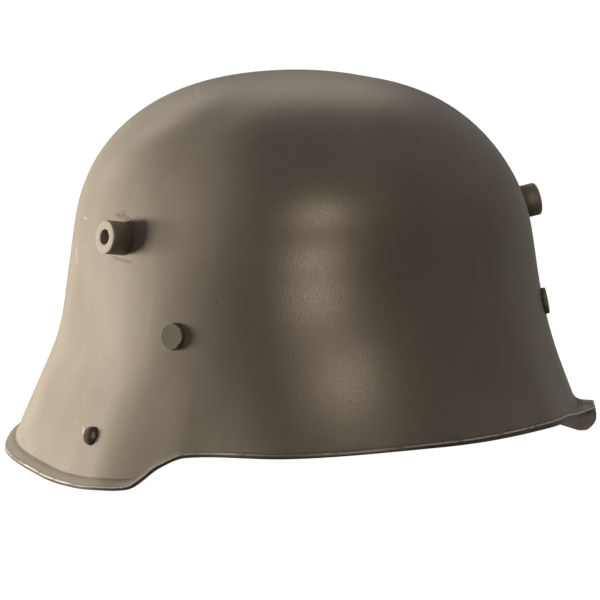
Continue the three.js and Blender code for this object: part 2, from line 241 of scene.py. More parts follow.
# Fasteners' finishes: a dark colour, the colour of their worn edges, and roughness
LUG_DARK = (0.105, 0.086, 0.068, 1.0)
LUG_WORN = (0.160, 0.136, 0.104, 1.0)
LUG_ROUGHNESS = 0.55
PIN_DARK = (0.068, 0.060, 0.045, 1.0)
PIN_WORN = (0.105, 0.087, 0.064, 1.0)
PIN_ROUGHNESS = 0.6
RIVET_DARK = (0.036, 0.026, 0.020, 1.0)
RIVET_WORN = (0.06, 0.045, 0.033, 1.0)
RIVET_ROUGHNESS = 0.42

# How much the finishes shine, and their grain: its depth in metres and its strength
SPECULAR = 0.3
PAINT_GRAIN_DEPTH = 0.00010
PAINT_GRAIN_STRENGTH = 0.75
STEEL_GRAIN_DEPTH = 0.00005
STEEL_GRAIN_STRENGTH = 0.4

# Patterns in the finishes. scale: waves per metre. detail, rough: how broken they are.
# low, high: the levels of the noise where a pattern is at its least and at its most.
# The steel's grain is bare noise and has no levels.
PATTERNS = {
    "cloud": {"scale": 28, "detail": 4, "rough": 0.5, "low": 0.35, "high": 0.7, "least": 0, "most": 1},
    "streak": {"scale": 70, "detail": 3, "rough": 0.6, "low": 0.45, "high": 0.75, "least": 0, "most": 0.6},
    "rubbed": {"scale": 420, "detail": 2, "rough": 0.5, "low": 0.71, "high": 0.76, "least": 0, "most": 0.14},
    "pitted": {"scale": 520, "detail": 2, "rough": 0.5, "low": 0.3, "high": 0.25, "least": 0, "most": 0.3},
    "rusty": {"scale": 1500, "detail": 3, "rough": 0.7, "low": 0.42, "high": 0.54, "least": 0, "most": 1},
    "broken": {"scale": 700, "detail": 2, "rough": 0.5, "low": 0.3, "high": 0.5, "least": 0, "most": 1},
    # Noise that breaks up the painted shade under the crease
    "crease_shade": {"scale": 160, "detail": 3, "rough": 0.6, "low": 0.2, "high": 0.7, "least": 0.45, "most": 0.75},
    "stain": {"scale": 160, "detail": 3, "rough": 0.6, "low": 0.45, "high": 0.7, "least": 0, "most": 1},
    "spell": {"scale": 22, "detail": 2, "rough": 0.5, "low": 0.35, "high": 0.6, "least": 0.25, "most": 1},
    "chip": {"scale": 190, "detail": 4, "rough": 0.65, "low": 0.32, "high": 0.5, "least": 0, "most": 1},
    "grain": {"scale": 1400, "detail": 3, "rough": 0.6, "low": 0.2, "high": 0.8, "least": 0.35, "most": 0.44},
    "steel": {"scale": 900, "detail": 3, "rough": 0.6},
    "wear": {"scale": 300, "detail": 2, "rough": 0.5, "low": 0.3, "high": 0.6, "least": 0.85, "most": 1},
    "floor": {"scale": 3, "detail": 2, "rough": 0.5, "low": 0.3, "high": 0.7, "least": 0, "most": 1},
}

# Bands along the rim, by millimetres from the edge, below zero on the fold and inside.
# start, full: where a band begins and where it is complete. most: its strength.
BANDS = {
    # Painted shadow line just above the rim's edge
    "rim_shade_line": {"start": 1.6, "full": 0.5, "most": 0.45},
    # Line along the fold's upper corner: worn paint and a painted highlight
    "corner_above": {"start": 0.5, "full": 0.1, "most": 1},
    "corner_below": {"start": -0.5, "full": -0.25, "most": 1},
    # Painted shade on the fold's face
    "fold": {"start": -0.25, "full": -0.45, "most": 1},
    # Painted light on the inner lip of the rim
    "lit_lip": {"start": -22, "full": -9, "most": 1},
}

# Marks on the paint, where the photograph shows them, in pixels from the top left.
# A mark runs from one end to the other. reach: half its width in millimetres. share: its strength.
PALE_MARKS = [
    {"from": (200, 86), "to": (196, 91), "reach": 0.35, "share": 0.8},
    {"from": (196, 91), "to": (199, 98), "reach": 0.35, "share": 0.8},
    {"from": (131, 118), "to": (128, 123), "reach": 0.3, "share": 0.6},
    {"from": (128, 123), "to": (129, 127), "reach": 0.3, "share": 0.6},
    {"from": (154, 102), "to": (153, 106), "reach": 0.3, "share": 0.4},
    {"from": (143, 112), "to": (145, 116), "reach": 0.3, "share": 0.4},
    {"from": (453, 118), "to": (458, 133), "reach": 0.3, "share": 0.4},
    {"from": (458, 133), "to": (460, 148), "reach": 0.3, "share": 0.4},
    {"from": (76.5, 250), "to": (77, 262), "reach": 0.7, "share": 1.0},
    {"from": (83, 246), "to": (82, 253), "reach": 0.3, "share": 0.4},
    {"from": (84, 217), "to": (87, 219), "reach": 0.6, "share": 0.5},
    {"from": (76, 422), "to": (75, 423), "reach": 0.4, "share": 0.7},
    {"from": (83, 392), "to": (82, 399), "reach": 0.4, "share": 0.22},
    {"from": (84, 405), "to": (87, 411), "reach": 0.4, "share": 0.22},
    {"from": (100, 352), "to": (101, 359), "reach": 0.6, "share": 0.22},
    {"from": (102, 386), "to": (107, 390), "reach": 0.4, "share": 0.22},
    {"from": (83, 428), "to": (84, 437), "reach": 1.1, "share": 0.9},
    {"from": (181, 340), "to": (182, 343), "reach": 0.6, "share": 1.0},
]
RUST_MARKS = [
    {"from": (117, 214), "to": (122, 218), "reach": 1.5, "share": 0.8},
    {"from": (123, 212), "to": (126, 219), "reach": 1.7, "share": 0.8},
    {"from": (128, 217), "to": (133, 222), "reach": 1.4, "share": 0.8},
    {"from": (114, 258), "to": (131, 262), "reach": 1.2, "share": 0.8},
    {"from": (88, 444), "to": (92, 445), "reach": 0.5, "share": 0.8},
]
# Dark spots, and a painted shadow beside the rivet
DARK_SPOT_AND_SHADOW_MARKS = [
    {"from": (216, 301), "to": (216.5, 303), "reach": 0.4, "share": 0.8},
    # Painted shadow to the right of the rivet
    {"from": (97, 441), "to": (101, 430), "reach": 0.8, "share": 0.8},
]

# Share of a mark's half width that is full strength
MARK_CORE = 0.3


# Smooth curve through one column of a table, level at both ends and with no overshoot
def column_curve(table, column):
    at = np.array([row["azimuth"] for row in table], float)
    value = np.array([row[column] for row in table], float)
    span = np.diff(at)
    rise = np.diff(value) / span
    slope = np.zeros(len(at))
    for i in range(1, len(at) - 1):
        if rise[i - 1] * rise[i] > 0:
            weight_before = 2 * span[i] + span[i - 1]
            weight_after = span[i] + 2 * span[i - 1]
            weighted = weight_before / rise[i - 1] + weight_after / rise[i]
            slope[i] = (weight_before + weight_after) / weighted

    def curve(azimuth):
        last = min(max(int(np.searchsorted(at, azimuth)) - 1, 0), len(span) - 1)
        t = (azimuth - at[last]) / span[last]
        s = 1 - t
        ends = value[last] * (1 + 2 * t) * s * s + value[last + 1] * (3 - 2 * t) * t * t
        return ends + span[last] * t * s * (slope[last] * s - slope[last + 1] * t)

    return curve


rim_height = column_curve(RIM, "height")
crease_reach = column_curve(RIM, "reach")
flange_width = column_curve(RIM, "flange")
flange_drop = column_curve(RIM, "drop")
wall_draft = column_curve(SIDE, "draft")
flare_height = column_curve(SIDE, "flare")
flare_softness = column_curve(SIDE, "softness")
knock_rise = column_curve(KNOCK, "rise")
knock_out = column_curve(KNOCK, "out")
knock_level = column_curve(KNOCK, "level")


# Angle from the front on whichever side an azimuth falls
def side_angle(azimuth):
    turn = abs(azimuth)
    return 360 - turn if turn > 180 else turn


# One measure of the knock: negative azimuths are the wearer's left, the knocked side
def knocked(measure, azimuth):
    return measure(-azimuth) if azimuth < 0 else 0.0


# Plan radius of the dome at its spring line
def dome_plan(azimuth):
    across = abs(math.sin(math.radians(azimuth)))
    along = math.cos(math.radians(azimuth))
    reach = DOME_FRONT_REACH if along > 0 else DOME_REAR_REACH
    n = DOME_PLAN_POWER
    return ((across / DOME_HALF_WIDTH) ** n + (abs(along) / reach) ** n) ** (-1 / n)


# Radius of the bowl without its flare, at a height or an array of heights
def bowl_radius(side, height):
    t = np.clip((height - SPRING_HEIGHT) / (CROWN_HEIGHT - SPRING_HEIGHT), 0, 1)
    narrowing = (1 - t**CROWN_POWER) ** (1 / CROWN_POWER)
    draft = math.tan(math.radians(wall_draft(side)))
    return narrowing * (dome_plan(side) + draft * (SPRING_HEIGHT - height))


# Depth below the flare line, eased in over the bend
def eased_depth(depth, softness):
    eased = (depth + softness) ** 2 / (4 * softness)
    return np.where(depth <= -softness, 0.0, np.where(depth >= softness, depth, eased))


# Outer radius of the wall at an azimuth, at a height or an array of heights
def wall_radius(azimuth, height):
    side = side_angle(azimuth)
    softness = flare_softness(side)
    flare = flare_height(side)
    crease = rim_height(side) + EDGE_LIFT + flange_drop(side)
    flare_at_crease = crease_reach(side) - bowl_radius(side, crease)
    slope = flare_at_crease / eased_depth(flare - crease, softness)
    return bowl_radius(side, height) + slope * eased_depth(flare - height, softness)


# Bottom of the rim on either side, with the knock
def rim_bottom(azimuth):
    return rim_height(side_angle(azimuth)) + knocked(knock_rise, azimuth)


# Outer face of one section as radius and height: flange edge, crease, wall, dome and crown
def outer_section(azimuth):
    side = side_angle(azimuth)
    edge_height = rim_bottom(azimuth) + EDGE_LIFT
    crease_height = edge_height + flange_drop(side) * (1 - knocked(knock_level, azimuth))
    share = np.arange(SECTION_STEPS) / SECTION_STEPS
    wall = crease_height + (SPRING_HEIGHT - crease_height) * share
    rise = np.sin(share * math.pi / 2) ** (2 / CROWN_POWER)
    dome = SPRING_HEIGHT + (CROWN_HEIGHT - SPRING_HEIGHT) * rise
    height = np.concatenate([wall, dome])
    radius = wall_radius(azimuth, height)
    edge_radius = radius[0] + flange_width(side) + knocked(knock_out, azimuth)
    radius = np.concatenate([[edge_radius], radius, [0.0]])
    height = np.concatenate([[edge_height], height, [CROWN_HEIGHT]])
    return np.stack([radius, height], axis=1)


# A section as points by distance from its edge
class Section:
    def __init__(self, azimuth):
        self.points = outer_section(azimuth)
        self.rounding = CREASE_ROUNDING + KNOCK_ROUNDING * knocked(knock_level, azimuth)
        steps = np.linalg.norm(np.diff(self.points, axis=0), axis=1)
        self.distance = np.concatenate([[0.0], np.cumsum(steps)])
        self.crease = self.distance[1]
        self.length = self.distance[-1]

    def bare(self, at):
        radius = np.interp(at, self.distance, self.points[:, 0])
        height = np.interp(at, self.distance, self.points[:, 1])
        return np.stack([radius, height], axis=-1)

    # The bare line averaged over a short stretch, which rounds the crease
    def smooth(self, at):
        reach = np.minimum(self.rounding, np.minimum(at, self.length - at))
        offsets = np.linspace(-1, 1, ROUNDING_SAMPLES)
        stretch = at[:, None] + reach[:, None] * offsets[None, :]
        return self.bare(stretch).mean(axis=1)

    # Unit normals that point into the sheet
    def inward(self, at):
        ahead = self.smooth(np.clip(at + PROBE, 0, self.length))
        behind = self.smooth(np.clip(at - PROBE, 0, self.length))
        step = ahead - behind
        step /= np.linalg.norm(step, axis=1)[:, None]
        return np.stack([-step[:, 1], step[:, 0]], axis=1)


# Distances of the rows from the edge: flange, crease, hem, then even steps to the crown
def row_distances(section):
    rounding = min(CREASE_ROUNDING, section.crease / 2)
    flange = np.linspace(0, section.crease - rounding, FLANGE_ROWS, endpoint=False)
    turn = np.linspace(-rounding, CREASE_ROUNDING, 2 * CREASE_ROWS + 1)
    crease = section.crease + turn
    wall_start = max(section.crease, HEM_DEPTH) + HEM_RAMP
    hem = np.linspace(crease[-1], wall_start + HEM_DEPTH, FLANGE_ROWS)[1:]
    wall = np.linspace(hem[-1], section.length, WALL_ROWS + 1)[1:-1]
    return np.concatenate([flange, crease, hem, wall])


def sheet_thickness(distance):
    thinning = np.clip((distance - HEM_DEPTH) / HEM_RAMP, 0, 1)
    return HEM_THICKNESS + (WALL - HEM_THICKNESS) * thinning


# Lowest level of the fold: it hangs below the rim's line off the floor, most on the left of the visor
def fold_bottom(azimuth):
    bottom = rim_bottom(azimuth)
    clear = np.clip((bottom - HANG_FROM) / (HANG_FULL - HANG_FROM), 0, 1)
    round_left = np.clip((HANG_TURN - azimuth) / (HANG_TURN - HANG_TURN_FULL), 0, 1)
    return bottom - clear * (HEM_HANG_LEAST + (HEM_HANG - HEM_HANG_LEAST) * round_left)


# Painted shade under the crease, strongest at the crease and only where the flange is wide
def crease_painted_shade(azimuth, section, rows):
    wide = np.clip((flange_width(side_angle(azimuth)) - NARROW_FLANGE) / NARROW_FLANGE, 0, 1)
    off = rows - section.crease
    below = np.exp((off + CREASE_SHADE_EDGE) / CREASE_SHADE_DEPTH)
    above = (CREASE_SHADE_EDGE - off) / (2 * CREASE_SHADE_EDGE)
    return wide * np.clip(np.where(off < -CREASE_SHADE_EDGE, below, above), 0, 1)


# Nose of the folded edge: upright, with rounded corners, and no lower than the underside
def hem_nose(edge, floor):
    height = min(HEM_FACE, edge[1] - floor)
    corner = min(HEM_CORNER, height / 2)
    points = []
    for drop, start in ((corner, math.pi / 2), (height - corner, 0)):
        centre = edge + np.array([0, -drop])
        for i in range(CORNER_STEPS + 1):
            turn = start - (math.pi / 2) * i / CORNER_STEPS
            points.append(centre + corner * np.array([math.cos(turn), math.sin(turn)]))
    return np.array(points)


# One closed section from below the outer crown, round the rim, to below the inner crown,
# with each point's distance from the edge (below zero on the fold), whether it lies inside, and painted shade
# under the crease
def shell_section(azimuth):
    section = Section(azimuth)
    rows = row_distances(section)
    outer = section.smooth(rows)
    inner = outer + section.inward(rows) * sheet_thickness(rows)[:, None]
    floor = fold_bottom(azimuth)
    nose = hem_nose(outer[0], floor)
    loop = np.concatenate([outer[::-1], nose, inner])
    loop[:, 1] = np.maximum(loop[:, 1], floor)
    below = nose[:, 1] - nose[0, 1]
    edge = np.concatenate([rows[::-1], below, below[-1] - rows])
    inside = np.concatenate([np.zeros(len(rows) + len(nose)), np.ones(len(rows))])
    # Painted shade under the crease, on the outer rows only
    crease_shade = crease_painted_shade(azimuth, section, rows)
    crease_shade = np.concatenate([crease_shade[::-1], np.zeros(len(nose) + len(rows))])
    return loop, edge, inside, crease_shade


def section_reach(azimuth):
    return shell_section(azimuth)[0][:, 0].max()


# The frame is centred between the front of the visor and the back of the neck guard
CENTRE_OFFSET = (section_reach(180) - section_reach(0)) / 2


# Points in space from azimuth, radius and height
def place(azimuth, radius, height):
    turn = math.radians(azimuth)
    radius = np.asarray(radius, float)
    height = np.broadcast_to(np.asarray(height, float), radius.shape)
    return np.stack([-radius * math.sin(turn), -radius * math.cos(turn) - CENTRE_OFFSET, height], axis=-1)


# Object from points in millimetres and faces, smooth, with float attributes on its points
def mesh_object(name, points, faces, attributes=None):
    mesh = bpy.data.meshes.new(name)
    mesh.from_pydata((np.asarray(points) * MM).tolist(), [], faces)
    for label, values in (attributes or {}).items():
        layer = mesh.attributes.new(label, "FLOAT", "POINT")
        layer.data.foreach_set("value", np.asarray(values, np.float32))
    mesh.polygons.foreach_set("use_smooth", [True] * len(mesh.polygons))
    mesh.update()
    made = bpy.data.objects.new(name, mesh)
    bpy.context.scene.collection.objects.link(made)
    return made


def make_shell():
    azimuths = (np.arange(COLUMNS) * 360 / COLUMNS + 180) % 360 - 180
    sections = [shell_section(azimuth) for azimuth in azimuths]
    row_count = len(sections[0][0])
    points = [place(0, [0.0], CROWN_HEIGHT), place(0, [0.0], CROWN_HEIGHT - WALL)]
    first_ring = len(points)
    edge = [[sections[0][1].max()] * first_ring]
    inside = [[0.0, 1.0]]
    crease_shade = [[0.0, 0.0]]
    for azimuth, (loop, loop_edge, loop_inside, loop_crease_shade) in zip(azimuths, sections):
        points.append(place(azimuth, loop[:, 0], loop[:, 1]))
        edge.append(loop_edge)
        inside.append(loop_inside)
        crease_shade.append(loop_crease_shade)
    faces = []
    for i in range(COLUMNS):
        here = first_ring + i * row_count
        beside = first_ring + (i + 1) % COLUMNS * row_count
        faces.append((0, beside, here))
        for row in range(row_count - 1):
            faces.append((here + row, beside + row, beside + row + 1, here + row + 1))
        faces.append((1, here + row_count - 1, beside + row_count - 1))
    # The last attribute carries the painted shade under the crease
    named = {"edge_distance": edge, "inside": inside, "crease_shade": crease_shade}
    attributes = {name: np.concatenate(values) for name, values in named.items()}
    return mesh_object("helmet_shell", np.concatenate(points), faces, attributes)


# Frame on the outer face: X level along the wall, Y up the wall, Z straight out of it
def seat_on(azimuth, height):
    def surface(angle, level):
        return Vector(place(angle, wall_radius(angle, level), level))

    sideways = surface(azimuth - PROBE, height) - surface(azimuth + PROBE, height)
    upward = surface(azimuth, height + PROBE) - surface(azimuth, height - PROBE)
    out = sideways.cross(upward).normalized()
    level = Vector((0, 0, 1)).cross(out).normalized()
    up = out.cross(level)
    seat = Matrix((level, up, out)).transposed().to_4x4()
    seat.translation = surface(azimuth, height)
    return seat


# How far the bent sheet falls away from flat at a distance from a fastener's centre
def sag(distance):
    return distance**2 / (2 * SHEET_BEND_RADIUS)


# Profile of corners (radius, height, rounding, wear) with each rounded corner drawn as a curve
def rounded(corners):
    points = []
    for i, (radius, height, rounding, wear) in enumerate(corners):
        here = Vector((radius, height))
        if rounding == 0:
            points.append((radius, height, wear))
            continue
        before = (Vector(corners[i - 1][:2]) - here).normalized()
        after = (Vector(corners[(i + 1) % len(corners)][:2]) - here).normalized()
        start = here + before * rounding
        end = here + after * rounding
        for k in range(FILLET_STEPS + 1):
            t = k / FILLET_STEPS
            point = start * (1 - t) ** 2 + here * (2 * t * (1 - t)) + end * t**2
            points.append((point.x, point.y, wear))
    return points


def wobble(turn):
    return sum(row["share"] * math.sin(row["waves"] * turn + row["shift"]) for row in WOBBLE)


# Solid of revolution about +Z from (radius, height, wear), with an uneven rim if asked
def turned(name, profile, seat, unevenness=0.0):
    points = []
    wear = []
    rings = []
    for radius, height, worn in profile:
        count = TURNED_SEGMENTS if radius > 0 else 1
        rings.append(list(range(len(points), len(points) + count)))
        for k in range(count):
            turn = 2 * math.pi * k / TURNED_SEGMENTS
            reach = radius * (1 + unevenness * wobble(turn) / PIN_HEAD_RADIUS)
            points.append(seat @ Vector((reach * math.cos(turn), reach * math.sin(turn), height)))
            wear.append(worn)
    faces = []
    for i, ring in enumerate(rings):
        following = rings[(i + 1) % len(rings)]
        if len(ring) == 1 and len(following) == 1:
            continue
        for k in range(TURNED_SEGMENTS):
            n = (k + 1) % TURNED_SEGMENTS
            if len(ring) == 1:
                faces.append((ring[0], following[n], following[k]))
            elif len(following) == 1:
                faces.append((ring[k], ring[n], following[0]))
            else:
                faces.append((ring[k], ring[n], following[n], following[k]))
    return mesh_object(name, points, faces, {"wear": wear})


def make_lug(name, seat):
    collar_top = -(WALL + sag(LUG_COLLAR_RADIUS) + GAP)
    collar_bottom = collar_top - LUG_COLLAR_THICKNESS
    corners = [
        (LUG_BORE_RADIUS, collar_bottom, EDGE_ROUND, 0),
        (LUG_COLLAR_RADIUS, collar_bottom, EDGE_ROUND, 0),
        (LUG_COLLAR_RADIUS, collar_top, EDGE_ROUND, 0),
        (LUG_SHANK_RADIUS, collar_top, 0, 0),
        (LUG_SHANK_RADIUS, SEAT, 0, 0),
        (LUG_RADIUS, SEAT, 0, 0),
        (LUG_RADIUS, LUG_LENGTH - WEAR_REACH - LUG_END_ROUND, 0, 0),
        (LUG_RADIUS, LUG_LENGTH, LUG_END_ROUND, 1),
        (LUG_BORE_RADIUS, LUG_LENGTH, LUG_BORE_ROUND, 1),
    ]
    return turned(name, rounded(corners), seat)


# Split pin: uneven flat head and shank, and two legs bent level against the inside
def make_pin(name, seat):
    leg_top = -(WALL + sag(PIN_LEG_SPAN / 2) + GAP)
    leg_middle = leg_top - PIN_LEG_THICKNESS / 2
    head_top = GAP + PIN_HEAD_THICKNESS
    corners = [
        (0, leg_middle, 0, 0),
        (PIN_SHANK_RADIUS, leg_middle, 0, 0),
        (PIN_SHANK_RADIUS, SEAT, 0, 0),
        (PIN_HEAD_RADIUS, SEAT, 0, PIN_BASE_WEAR),
        (PIN_HEAD_RADIUS, head_top, PIN_EDGE, 1),
        (PIN_HEAD_RADIUS - WEAR_REACH, head_top, 0, 0),
        (0, head_top, 0, 0),
    ]
    head = turned(name, rounded(corners), seat, PIN_HEAD_WOBBLE)
    for side in (-1, 1):
        add_leg(head, seat, side, leg_middle)
    return head


# One leg of a split pin: a flat strip with a round end, joined into the pin's mesh
def add_leg(pin, seat, side, middle):
    shape = bmesh.new()
    shape.from_mesh(pin.data)
    half = PIN_LEG_WIDTH / 2
    outline = [(PIN_LEG_SLIT / 2, -half), (PIN_LEG_SPAN / 2 - half, -half)]
    for k in range(1, 2 * FILLET_STEPS):
        turn = math.pi * (k / (2 * FILLET_STEPS) - 0.5)
        outline.append((PIN_LEG_SPAN / 2 - half + half * math.cos(turn), half * math.sin(turn)))
    outline += [(PIN_LEG_SPAN / 2 - half, half), (PIN_LEG_SLIT / 2, half)]
    levels = [middle - PIN_LEG_THICKNESS / 2, middle + PIN_LEG_THICKNESS / 2]
    rings = []
    for level in levels:
        corners = [seat @ Vector((side * x, y, level)) for x, y in outline]
        rings.append([shape.verts.new(corner * MM) for corner in corners])
    made = [shape.faces.new(rings[0]), shape.faces.new(rings[1][::-1])]
    for k in range(len(outline)):
        n = (k + 1) % len(outline)
        made.append(shape.faces.new((rings[0][k], rings[1][k], rings[1][n], rings[0][n])))
    bmesh.ops.recalc_face_normals(shape, faces=made)
    shape.to_mesh(pin.data)
    shape.free()


def make_rivet(name, seat):
    tail_top = -(WALL + sag(RIVET_TAIL_RADIUS) + GAP)
    tail_bottom = tail_top - RIVET_TAIL_THICKNESS
    corners = [
        (0, tail_bottom, 0, 0),
        (RIVET_TAIL_RADIUS, tail_bottom, EDGE_ROUND, 0),
        (RIVET_TAIL_RADIUS, tail_top, EDGE_ROUND, 0),
        (RIVET_SHANK_RADIUS, tail_top, 0, 0),
        (RIVET_SHANK_RADIUS, SEAT, 0, 0),
        (RIVET_HEAD_RADIUS, SEAT, 0, 0),
    ]
    profile = rounded(corners)
    for i in range(DOME_HEAD_STEPS):
        turn = math.pi / 2 * i / DOME_HEAD_STEPS
        profile.append((RIVET_HEAD_RADIUS * math.cos(turn), GAP + RIVET_HEAD_RISE * math.sin(turn), 0))
    profile.append((0, GAP + RIVET_HEAD_RISE, 0))
    return turned(name, profile, seat)


# A new node: a plain input is set on its socket, and another node's output is linked to it
def add_node(tree, kind, settings=None, inputs=None):
    made = tree.nodes.new(kind)
    for name, value in (settings or {}).items():
        setattr(made, name, value)
    for key, value in (inputs or {}).items():
        if isinstance(value, bpy.types.NodeSocket):
            tree.links.new(value, made.inputs[key])
        else:
            made.inputs[key].default_value = value
    return made


# Bare noise of a pattern
def noise(tree, place_in, name):
    row = PATTERNS[name]
    inputs = {"Vector": place_in, "Scale": row["scale"], "Detail": row["detail"], "Roughness": row["rough"]}
    return add_node(tree, "ShaderNodeTexNoise", None, inputs).outputs["Fac"]


# A value eased from bottom to top while it goes from low to high
def ramp(tree, value, low, high, bottom, top):
    inputs = {"Value": value, "From Min": low, "From Max": high, "To Min": bottom, "To Max": top}
    settings = {"interpolation_type": "SMOOTHSTEP"}
    return add_node(tree, "ShaderNodeMapRange", settings, inputs).outputs["Result"]


# Noise of a pattern, brought between its least and its most
def pattern(tree, place_in, name):
    row = PATTERNS[name]
    return ramp(tree, noise(tree, place_in, name), row["low"], row["high"], row["least"], row["most"])


# Share of a band at each distance from the edge
def band(tree, edge, name):
    row = BANDS[name]
    return ramp(tree, edge, row["start"], row["full"], 0.0, row["most"])


def maths(tree, operation, first, second=0.0):
    settings = {"operation": operation, "use_clamp": operation in ("ADD", "MULTIPLY")}
    return add_node(tree, "ShaderNodeMath", settings, {0: first, 1: second}).outputs[0]


def mix(tree, share, first, second):
    settings = {"data_type": "RGBA"}
    return add_node(tree, "ShaderNodeMix", settings, {0: share, 6: first, 7: second}).outputs[2]


def attribute(tree, name):
    return add_node(tree, "ShaderNodeAttribute", {"attribute_name": name}).outputs["Fac"]


# A new material with its shader, and the coordinates of the frame in metres
def new_material(name):
    material = bpy.data.materials.new(name)
    material.use_nodes = True
    tree = material.node_tree
    shader = tree.nodes["Principled BSDF"]
    place_in = add_node(tree, "ShaderNodeTexCoord").outputs["Object"]
    return material, tree, shader, place_in


def bump(tree, shader, height, distance, strength):
    inputs = {"Height": height, "Distance": distance, "Strength": strength}
    normal = add_node(tree, "ShaderNodeBump", None, inputs).outputs["Normal"]
    tree.links.new(normal, shader.inputs["Normal"])


# Where a pixel of the photograph falls on the shell, in metres, or nothing if it misses
def on_shell(surface, pixel):
    camera = bpy.context.scene.camera
    turn = camera.matrix_world.to_3x3()
    half = IMAGE_SIZE / 2
    reach = MM_PER_PIXEL / VIEW_DISTANCE
    ray = Vector(((pixel[0] - half) * reach, (half - pixel[1]) * reach, -1.0))
    return surface.ray_cast(camera.location, (turn @ ray).normalized())[0]


# Ends of each mark on the shell
def marks_on_shell(shell, marks):
    surface = BVHTree.FromPolygons(
        [vertex.co for vertex in shell.data.vertices],
        [polygon.vertices for polygon in shell.data.polygons],
    )
    found = []
    for mark in marks:
        start = on_shell(surface, mark["from"])
        end = on_shell(surface, mark["to"])
        if start and end:
            found.append((start, end, mark["reach"] * MM, mark["share"]))
    return found


def vector_maths(tree, operation, first, second):
    return add_node(tree, "ShaderNodeVectorMath", {"operation": operation}, {0: first, 1: second})


# Mask that has each mark's strength along the line between its ends and fades at its sides
def mark_mask(tree, place_in, marks):
    mask = None
    for start, end, reach, strength in marks:
        line = end - start
        away = vector_maths(tree, "SUBTRACT", place_in, start).outputs[0]
        along = vector_maths(tree, "DOT_PRODUCT", away, line / line.length_squared).outputs["Value"]
        share = add_node(tree, "ShaderNodeClamp", None, {"Value": along}).outputs[0]
        foot = add_node(tree, "ShaderNodeVectorMath", {"operation": "SCALE"}, {0: line, "Scale": share})
        off = vector_maths(tree, "DISTANCE", away, foot.outputs[0]).outputs["Value"]
        near = ramp(tree, off, reach, reach * MARK_CORE, 0.0, strength)
        mask = near if mask is None else maths(tree, "MAXIMUM", mask, near)
    return mask


# Paint with the marks of the photograph: rust specks, broken pale scratches, dark spots and a painted shadow
# beside the rivet
def marked(tree, place_in, base, shell):
    rust = mark_mask(tree, place_in, marks_on_shell(shell, RUST_MARKS))
    base = mix(tree, maths(tree, "MULTIPLY", rust, pattern(tree, place_in, "rusty")), base, RUST_SPECK)
    pale = mark_mask(tree, place_in, marks_on_shell(shell, PALE_MARKS))
    base = mix(tree, maths(tree, "MULTIPLY", pale, pattern(tree, place_in, "broken")), base, PAINT_PALE)
    # Dark spots and the painted shadow beside the rivet
    dark = mark_mask(tree, place_in, marks_on_shell(shell, DARK_SPOT_AND_SHADOW_MARKS))
    return mix(tree, dark, base, SHADE_AND_PIT_DARK)


# Faint warm shine, alike on every finish
def shine(shader):
    shader.inputs["Specular IOR Level"].default_value = SPECULAR
    shader.inputs["Specular Tint"].default_value = SHEEN


# Aged field paint: mottled satin with fine grain, scattered specks and the marks of the photograph,
# painted shade under the crease, in a line above the rim and on the fold's face, a light line along
# the fold's upper corner that is worn paint and a painted highlight, and painted light on the inner lip
def field_paint(shell):
    material, tree, shader, place_in = new_material("field_paint")
    cloud = pattern(tree, place_in, "cloud")
    base = mix(tree, cloud, PAINT, PAINT_LIGHT)
    upright = vector_maths(tree, "MULTIPLY", place_in, STREAK_STRETCH).outputs[0]
    base = mix(tree, pattern(tree, upright, "streak"), base, PAINT_STREAK)
    base = mix(tree, pattern(tree, place_in, "rubbed"), base, PAINT_PALE)
    base = mix(tree, pattern(tree, place_in, "pitted"), base, SHADE_AND_PIT_DARK)
    base = marked(tree, place_in, base, shell)
    edge = attribute(tree, "edge_distance")
    # Painted shade under the crease, broken up by noise
    crease_shade = maths(tree, "MULTIPLY", attribute(tree, "crease_shade"), pattern(tree, place_in, "crease_shade"))
    base = mix(tree, crease_shade, base, SHADE_AND_PIT_DARK)
    # Painted shadow line just above the rim's edge
    base = mix(tree, band(tree, edge, "rim_shade_line"), base, SHADE_AND_PIT_DARK)
    # Painted shade on the fold's face, mottled dark brown
    base = mix(tree, band(tree, edge, "fold"), base, mix(tree, cloud, SHADE_AND_PIT_DARK, FOLD_SHADE_BROWN))
    # Light line along the fold's upper corner: worn paint and a painted highlight, broken up by noise
    corner = maths(tree, "MULTIPLY", band(tree, edge, "corner_above"), band(tree, edge, "corner_below"))
    chip = maths(tree, "MULTIPLY", pattern(tree, place_in, "chip"), pattern(tree, place_in, "spell"))
    base = mix(tree, maths(tree, "MULTIPLY", corner, chip), base, WORN_PAINT_AND_HIGHLIGHT)
    inner = mix(tree, pattern(tree, place_in, "stain"), PAINT_INSIDE, RUST)
    # Painted light on the inner lip of the rim
    inner = mix(tree, band(tree, edge, "lit_lip"), inner, LIP_PAINTED_LIGHT)
    base = mix(tree, attribute(tree, "inside"), base, inner)
    tree.links.new(base, shader.inputs["Base Color"])
    tree.links.new(pattern(tree, place_in, "grain"), shader.inputs["Roughness"])
    shine(shader)
    bump(tree, shader, noise(tree, place_in, "grain"), PAINT_GRAIN_DEPTH, PAINT_GRAIN_STRENGTH)
    return material


# Plain old finish: a dark and a worn colour, blended by the wear along a fastener's edges
def worn_finish(name, dark, worn, roughness):
    material, tree, shader, place_in = new_material(name)
    share = maths(tree, "MULTIPLY", attribute(tree, "wear"), pattern(tree, place_in, "wear"))
    tree.links.new(mix(tree, share, dark, worn), shader.inputs["Base Color"])
    shader.inputs["Roughness"].default_value = roughness
    shine(shader)
    bump(tree, shader, noise(tree, place_in, "steel"), STEEL_GRAIN_DEPTH, STEEL_GRAIN_STRENGTH)
    return material


def lug_steel():
    return worn_finish("lug_steel", LUG_DARK, LUG_WORN, LUG_ROUGHNESS)


def pin_paint():
    return worn_finish("pin_paint", PIN_DARK, PIN_WORN, PIN_ROUGHNESS)


def rivet_steel():
    return worn_finish("rivet_steel", RIVET_DARK, RIVET_WORN, RIVET_ROUGHNESS)


